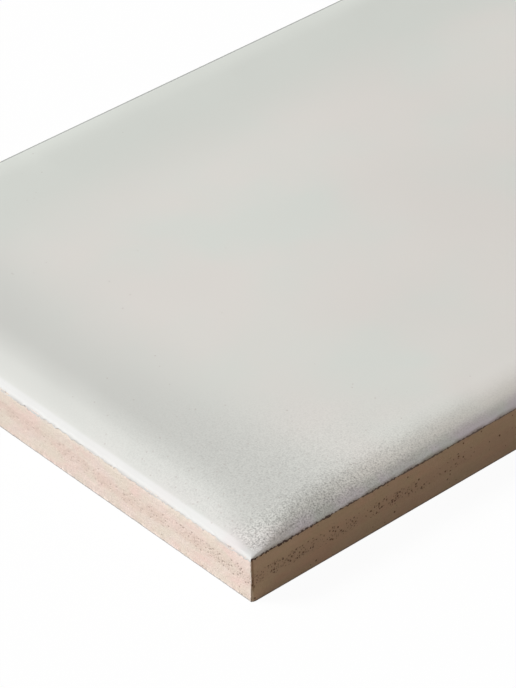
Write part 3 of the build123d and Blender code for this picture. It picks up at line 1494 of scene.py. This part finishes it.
@dataclass
class GlazeCoat:
    """The glaze: a closed coat that lies on the biscuit and laps over its rim."""

    tile: TileSizes
    finish: GlazeFinish
    cushion: Cushion
    stations: Stations = Stations(24, 500, 250)
    crown_steps: int = 6
    crisp_turn: float = math.radians(50)
    wave_size: float = 17 * MM
    wave_depth: float = 0.10 * MM
    field_sag: float = 0.03 * MM
    lip_wander: float = 0.04 * MM
    lip_start: float = 0.03 * MM
    skirt_depth: float = 0.18 * MM
    end_skirt: float = 0.52 * MM
    skirt_tuck: float = 0.03 * MM
    skirt_width: float = 0.12 * MM
    skirt_drop: float = 0.01 * MM
    field_steps: tuple[float, ...] = (1.4, 3.0, 5.0, 8.0, 12.0, 17.0, 23.0, 30.0, 36.0)

    def section(self) -> Section:
        """The coat's section, from the middle of its underside round to the middle of its face.

        Returns:
            The section's points, in order.
        """
        tile = self.tile
        rim, crown, middle = tile.rim_height, tile.crown_height, tile.half_width
        cushion = self.cushion.section(rim + self.lip_start, crown)
        crest, *_ = cushion[-1]
        skirt = [(self.skirt_width, rim), (self.skirt_tuck, rim - self.skirt_drop)]
        field = [(crest + step * MM, crown) for step in self.field_steps]
        return [
            *all_round([(middle, tile.biscuit_height), (middle / 2, tile.biscuit_height)]),
            *reversed(buried_crown(tile, self.crown_steps)),
            *all_round(skirt),
            *cushion,
            *all_round([*field, (middle, crown)]),
        ]

    def tree(self, sweep: bpy.types.NodeTree, relief: bpy.types.NodeTree) -> bpy.types.NodeTree:
        """The Geometry Nodes tree that grows the coat.

        Args:
            sweep: The outline sweep group.
            relief: The fired relief group.

        Returns:
            The tree, with the coat's sizes as named inputs.
        """
        bench = Bench.group(
            "glaze coat",
            TreeKind.SHAPE,
            {
                SocketKind.MESH: ("Section",),
                SocketKind.NUMBER: (*OUTLINE, *FIRED),
                SocketKind.COUNT: STATIONS,
                SocketKind.COAT: ("Finish",),
            },
            {SocketKind.MESH: ("Mesh",)},
        )
        swept = sweep_on(bench, sweep)
        fired = bench.use(relief, Mesh=swept, **bench.handed(*HALF_SIZES, *FIRED)).outputs[0]
        finish_tree(bench, smooth_but_arrises(bench, fired, self.crisp_turn))
        return bench.tree

    def build(self, sweep: bpy.types.NodeTree) -> bpy.types.Object:
        """Makes the coat and gives it its finish.

        Args:
            sweep: The outline sweep group.

        Returns:
            The finished piece.
        """
        piece = section_object("glaze_coat", self.section())
        grow(
            piece,
            self.tree(sweep, fired_relief()),
            {
                **self.tile.named(),
                **self.stations.named(),
                "Wave Size": self.wave_size,
                "Wave Depth": self.wave_depth,
                "Field Sag": self.field_sag,
                "Lip Wander": self.lip_wander,
                "Skirt Depth": self.skirt_depth,
                "End Skirt": self.end_skirt,
                "Finish": self.finish.make(self.tile),
            },
        )
        return piece


@dataclass
class KeyedBack:
    """The pockets pressed into the back, between a plain rim and crossing ribs."""

    tile: TileSizes
    rim: float = 6.5 * MM
    rib: float = 2.5 * MM
    pitch: float = 21 * MM
    depth: float = 0.7 * MM
    wall_slope: float = math.radians(35)
    corner_radius: float = 2 * MM
    side_stations: int = 6
    corner_stations: int = 4
    wall_curve: tuple[tuple[float, float], ...] = (
        (1.7, 1.0), (1.15, 0.95), (0.85, 0.78), (0.2, 0.2), (0.05, 0.06)
    )
    overlap: float = 0.06 * MM

    def layout(self) -> tuple[list[int], list[float]]:
        """How many pockets fit each way, and how wide and deep their mouths are.

        Returns:
            The two counts and the two mouth sizes.
        """
        counts, mouths = [], []
        for half in (self.tile.half_length, self.tile.half_width):
            inner = 2 * (half - self.rim)
            count = max(1, round((inner + self.rib) / self.pitch))
            counts.append(count)
            mouths.append((inner - (count - 1) * self.rib) / count)
        return counts, mouths

    @property
    def wall_inset(self) -> float:
        """How far a pocket's floor is in from its mouth."""
        return self.depth * math.tan(self.wall_slope)

    def section(self, middle: float) -> Section:
        """A pocket's section, from the middle of its floor out to its mouth.

        Args:
            middle: Half the mouth's smaller side.

        Returns:
            The section's points, inset from the mouth.
        """
        wall = [(self.wall_inset * run, self.depth * fall) for run, fall in self.wall_curve]
        floor = [(middle, self.depth), (middle / 2, self.depth)]
        return all_round([*floor, *wall, (-self.overlap, 0.0)])


@dataclass
class Biscuit:
    """The pressed clay body: bare sides, a crown hidden under the glaze, and a keyed back."""

    tile: TileSizes
    finish: BiscuitFinish
    back: KeyedBack
    stations: Stations = Stations(10, 760, 380)
    crown_steps: int = 4
    crisp_turn: float = math.radians(32)
    foot_bevel: float = 0.04 * MM
    tuck: float = 0.05 * MM
    pit_depth: float = 0.08 * MM
    side_wave: float = 0.03 * MM
    chip_depth: float = 0.28 * MM
    band_step: float = 0.15 * MM
    band_margin: float = 0.35 * MM
    bevel_curve: tuple[tuple[float, float], ...] = ((1.0, 0.0), (0.15, 0.9), (0.0, 1.25))
    rows_below: tuple[float, ...] = (0.8, 1.5, 2.2)
    rows_above: tuple[float, ...] = (5.7, 6.2, 6.6)
    arris_curve: tuple[tuple[float, float], ...] = ((0.3, 0.50), (0.7, 0.25))
    arris_tuck: float = 0.03 * MM

    def section(self) -> Section:
        """The body's section, from its foot up the side and over the crown to the middle.

        Returns:
            The section's points, in order.
        """
        tile, finish = self.tile, self.finish
        start, end = finish.band_low - self.band_margin, finish.band_high + self.band_margin
        steps = round((end - start) / self.band_step)
        band = [start + (end - start) * step / steps for step in range(steps + 1)]
        below, above = ([row * MM for row in rows] for rows in (self.rows_below, self.rows_above))
        bevel = [(self.foot_bevel * run, self.foot_bevel * rise) for run, rise in self.bevel_curve]
        arris = [(self.tuck * share, tile.rim_height - drop * MM) for share, drop in self.arris_curve]
        return [
            *all_round([*bevel, *((0.0, height) for height in (*below, *band, *above)), *arris]),
            *all_round([(self.tuck + self.arris_tuck, tile.rim_height)]),
            *buried_crown(tile, self.crown_steps),
            *all_round([(share * tile.half_width, tile.biscuit_height) for share in (0.5, 1.0)]),
        ]

    def tree(self, sweep: bpy.types.NodeTree, relief: bpy.types.NodeTree) -> bpy.types.NodeTree:
        """The Geometry Nodes tree that grows the body, its pockets and its back.

        Args:
            sweep: The outline sweep group.
            relief: The pressed relief group.

        Returns:
            The tree, with the body's sizes as named inputs.
        """
        bench = Bench.group(
            "pressed biscuit",
            TreeKind.SHAPE,
            {
                SocketKind.MESH: ("Section",),
                SocketKind.OBJECT: ("Pocket Section",),
                SocketKind.NUMBER: (*OUTLINE, *PRESSED, *POCKET_SIZES),
                SocketKind.COUNT: (*STATIONS, *POCKET_COUNTS),
                SocketKind.COAT: ("Finish",),
            },
            {SocketKind.MESH: ("Mesh",)},
        )
        closed = self.close_back(bench, sweep_on(bench, sweep), self.pockets(bench, sweep))
        pressed = bench.use(relief, Mesh=closed, **bench.handed(*HALF_SIZES, *PRESSED)).outputs[0]
        finish_tree(bench, smooth_but_arrises(bench, pressed, self.crisp_turn))
        return bench.tree

    @staticmethod
    def pockets(bench: Bench, sweep: bpy.types.NodeTree) -> bpy.types.NodeSocket:
        """Sweeps one pocket and repeats it over the back.

        Args:
            bench: The tree that the pockets are in.
            sweep: The outline sweep group.

        Returns:
            The pockets, open at their mouths.
        """
        mouth_x, mouth_y, radius, wall, step_x, step_y = (bench.given(name) for name in POCKET_SIZES)
        corner, side, columns, rows = (bench.given(name) for name in POCKET_COUNTS)
        chain = bench.add("GeometryNodeObjectInfo", {"Object": bench.given("Pocket Section")})
        bowl = bench.use(
            sweep,
            Section=chain.outputs["Geometry"],
            Half_Length=mouth_x,
            Half_Width=mouth_y,
            Rim_Radius=radius,
            Crest_Radius=bench.math("SUBTRACT", radius, wall),
            Crest_Inset=wall,
            Crest_Start=0.0,
            Crest_Growth=1.0,
            Corner_Bend=1.0,
            Corner_Stations=corner,
            Long_Stations=side,
            Short_Stations=side,
        ).outputs[0]
        reach_x, reach_y = (
            bench.product(bench.math("SUBTRACT", count, 1.0), step)
            for count, step in ((columns, step_x), (rows, step_y))
        )
        grid = bench.add("GeometryNodeMeshGrid", {0: reach_x, 1: reach_y, 2: columns, 3: rows})
        bowls = bench.add(
            "GeometryNodeInstanceOnPoints", {"Points": grid.outputs["Mesh"], "Instance": bowl}
        )
        return bench.add("GeometryNodeRealizeInstances", {0: bowls.outputs[0]}).outputs[0]

    @staticmethod
    def close_back(bench: Bench, body: Wire, pockets: Wire) -> bpy.types.NodeSocket:
        """Fills the flat back between the foot and the pockets' mouths.

        Args:
            bench: The tree that the meshes are in.
            body: The swept body, open at its foot.
            pockets: The pockets, open at their mouths.

        Returns:
            The closed mesh.
        """
        shells = bench.add("GeometryNodeJoinGeometry", {0: body}).outputs[0]
        bench.feed(shells.node.inputs[0], pockets)
        faces = bench.add("GeometryNodeInputMeshEdgeNeighbors").outputs["Face Count"]
        is_open = bench.math("LESS_THAN", faces, 1.5)
        rims = bench.add("GeometryNodeMeshToCurve", {"Mesh": shells, "Selection": is_open}).outputs[0]
        filled = bench.add("GeometryNodeFillCurve", {"Curve": rims}, mode="TRIANGLES").outputs[0]
        turned = bench.add("GeometryNodeFlipFaces", {0: filled}).outputs[0]
        whole = bench.add("GeometryNodeJoinGeometry", {0: shells}).outputs[0]
        bench.feed(whole.node.inputs[0], turned)
        welded = bench.add("GeometryNodeMergeByDistance", {"Geometry": whole, "Distance": WELD})
        return welded.outputs[0]

    def build(self, sweep: bpy.types.NodeTree) -> bpy.types.Object:
        """Makes the body and gives it its finish.

        Args:
            sweep: The outline sweep group.

        Returns:
            The finished piece.
        """
        finish, back = self.finish, self.back
        piece = section_object("pressed_biscuit", self.section())
        (columns, rows), (mouth_x, mouth_y) = back.layout()
        chain = section_object("pocket_section", back.section(min(mouth_x, mouth_y) / 2))
        steps = (mouth_x + back.rib, mouth_y + back.rib)
        pocket_sizes = (mouth_x / 2, mouth_y / 2, back.corner_radius, back.wall_inset, *steps)
        pocket_counts = (back.corner_stations, back.side_stations, columns, rows)
        grow(
            piece,
            self.tree(sweep, pressed_relief()),
            {
                **self.tile.named(),
                **self.stations.named(),
                **dict(zip(POCKET_SIZES, pocket_sizes)),
                **dict(zip(POCKET_COUNTS, pocket_counts)),
                "Pocket Section": chain,
                "Band Low": finish.band_low,
                "Band High": finish.band_high,
                "Pit Cell": finish.pits.cell,
                "Pit Size": finish.pits.size,
                "Pit Depth": self.pit_depth,
                "Side Wave": self.side_wave,
                "Chip Depth": self.chip_depth,
                "Finish": finish.make(self.tile),
            },
        )
        chain_mesh = chain.data
        bpy.data.objects.remove(chain)
        bpy.data.meshes.remove(chain_mesh)
        return piece


@dataclass(frozen=True)
class PhotoCamera:
    """The camera at the photo's viewing angle, fitted to the tile's edges and corners."""

    place: tuple[float, float, float] = (-0.344792, -0.342152, 0.311688)
    azimuth: float = math.radians(-40.254)
    elevation: float = math.radians(35.257)
    roll: float = math.radians(-2.0)
    focal_length_px: float = 3686.0
    image_height_px: float = 688.0
    sensor: float = 36.0

    def build(self) -> bpy.types.Object:
        """Makes the camera and turns it to the tile.

        Returns:
            The camera.
        """
        data = bpy.data.cameras.new("photo_camera")
        data.sensor_width = self.sensor
        data.lens = self.sensor * self.focal_length_px / self.image_height_px
        level = math.cos(self.elevation)
        back = Vector((
            math.sin(self.azimuth) * level, -math.cos(self.azimuth) * level, math.sin(self.elevation)
        ))
        right = Vector((math.cos(self.azimuth), math.sin(self.azimuth), 0.0))
        up = back.cross(right)
        rolled_right = math.cos(self.roll) * right + math.sin(self.roll) * up
        rolled_up = math.cos(self.roll) * up - math.sin(self.roll) * right
        turn = Matrix((rolled_right, rolled_up, back)).transposed().to_4x4()
        camera = bpy.data.objects.new("photo_camera", data)
        camera.matrix_world = Matrix.Translation(self.place) @ turn
        bpy.context.scene.collection.objects.link(camera)
        bpy.context.scene.camera = camera
        return camera


@dataclass(frozen=True)
class SoftLamp:
    """A square lamp that points at the tile's middle."""

    name: str
    azimuth: float
    elevation: float
    distance: float
    side: float
    power: float
    tint: tuple[float, float, float] = (1.0, 1.0, 1.0)

    def build(self) -> bpy.types.Object:
        """Makes the lamp.

        Returns:
            The lamp.
        """
        data = bpy.data.lights.new(self.name, "AREA")
        data.size = self.side
        data.energy = self.power
        data.color = self.tint
        lamp = bpy.data.objects.new(self.name, data)
        level = math.cos(self.elevation)
        towards = Vector((
            math.cos(self.azimuth) * level, math.sin(self.azimuth) * level, math.sin(self.elevation)
        ))
        lamp.location = towards * self.distance
        lamp.rotation_mode = "QUATERNION"
        lamp.rotation_quaternion = towards.to_track_quat("Z", "Y")
        bpy.context.scene.collection.objects.link(lamp)
        return lamp


@dataclass(frozen=True)
class Studio:
    """A white floor that keeps a pale shadow, a soft key from behind left and a weak fill."""

    floor_side: float = 9.0
    floor_tint: Tint = (0.232, 0.174, 0.114, 1)
    shadow_tint: Tint = (0.820, 0.820, 0.820, 1)
    shadow_share: float = 0.04
    dome_tint: Tint = (0.088, 0.085, 0.080, 1)
    white: Tint = (1.0, 1.0, 1.0, 1)
    key: SoftLamp = SoftLamp(
        "key", math.radians(139), math.radians(39), 2.6, 0.95, 99.0
    )
    fill: SoftLamp = SoftLamp(
        "fill", math.radians(-75), math.radians(14), 2.0, 0.9, 3.85, (1.0, 0.66, 0.36)
    )

    def seen_white(self, bench: Bench) -> bpy.types.NodeSocket:
        """One for the rays that show the background: the camera's, glossy and transmitted ones.

        Args:
            bench: The tree that asks.

        Returns:
            One or zero.
        """
        rays = bench.add("ShaderNodeLightPath").outputs
        seen = bench.math("MAXIMUM", rays["Is Camera Ray"], rays["Is Glossy Ray"])
        return bench.math("MAXIMUM", seen, rays["Is Transmission Ray"])

    def floor_material(self) -> bpy.types.Material:
        """White to the eye with a pale shadow, and a mid grey to the light that it bounces.

        Returns:
            The material.
        """
        material = bpy.data.materials.new("studio_floor")
        material.use_nodes = True
        tree = material.node_tree
        tree.nodes.clear()
        bench = Bench(tree)
        matt = bench.add("ShaderNodeBsdfDiffuse", {"Color": self.floor_tint})
        shadowed = bench.add("ShaderNodeBsdfDiffuse", {"Color": self.shadow_tint})
        glow = bench.add("ShaderNodeEmission", {"Color": self.white, "Strength": 1.0})
        seen = bench.add(
            "ShaderNodeMixShader", {0: self.shadow_share, 1: glow.outputs[0], 2: shadowed.outputs[0]}
        )
        mixed = bench.add(
            "ShaderNodeMixShader", {0: self.seen_white(bench), 1: matt.outputs[0], 2: seen.outputs[0]}
        )
        bench.add("ShaderNodeOutputMaterial", {"Surface": mixed.outputs[0]})
        return material

    def build_floor(self) -> bpy.types.Object:
        """Makes the floor that the tile lies on.

        Returns:
            The floor.
        """
        half = self.floor_side / 2
        mesh = bpy.data.meshes.new("studio_floor")
        corners = [(-half, -half, 0), (half, -half, 0), (half, half, 0), (-half, half, 0)]
        mesh.from_pydata(corners, [], [(0, 1, 2, 3)])
        mesh.materials.append(self.floor_material())
        floor = bpy.data.objects.new("studio_floor", mesh)
        bpy.context.scene.collection.objects.link(floor)
        return floor

    def build_world(self) -> None:
        """Makes the world: white to the eye, and a dim even dome to the light."""
        world = bpy.data.worlds.new("studio_dome")
        world.use_nodes = True
        tree = world.node_tree
        tree.nodes.clear()
        bench = Bench(tree)
        tint = bench.tint(self.seen_white(bench), self.dome_tint, self.white)
        glow = bench.add("ShaderNodeBackground", {"Color": tint, "Strength": 1.0})
        bench.add("ShaderNodeOutputWorld", {"Surface": glow.outputs[0]})
        bpy.context.scene.world = world

    def build(self) -> None:
        """Sets up the floor, the world, the lamps and the plain view transform."""
        self.build_floor()
        self.build_world()
        self.key.build()
        self.fill.build()
        bpy.context.scene.view_settings.view_transform = "Standard"


def main() -> None:
    """Builds the tile's two pieces and the studio round them."""
    logging.basicConfig(level=logging.INFO, format="%(name)s %(message)s")
    build_shared_groups()
    tile = TileSizes.from_frame()
    sweep = outline_sweep(tile_outline())
    biscuit = Biscuit(tile, BiscuitFinish(), KeyedBack(tile)).build(sweep)
    glaze = GlazeCoat(tile, GlazeFinish(), Cushion()).build(sweep)
    for piece, node, slot in ((biscuit, "biscuit", "biscuit"), (glaze, "glaze", "glaze")):
        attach(piece, BODY)
        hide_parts(node)
        report(piece)
    Studio().build()
    PhotoCamera().build()


if __name__ == "__main__":
    main()
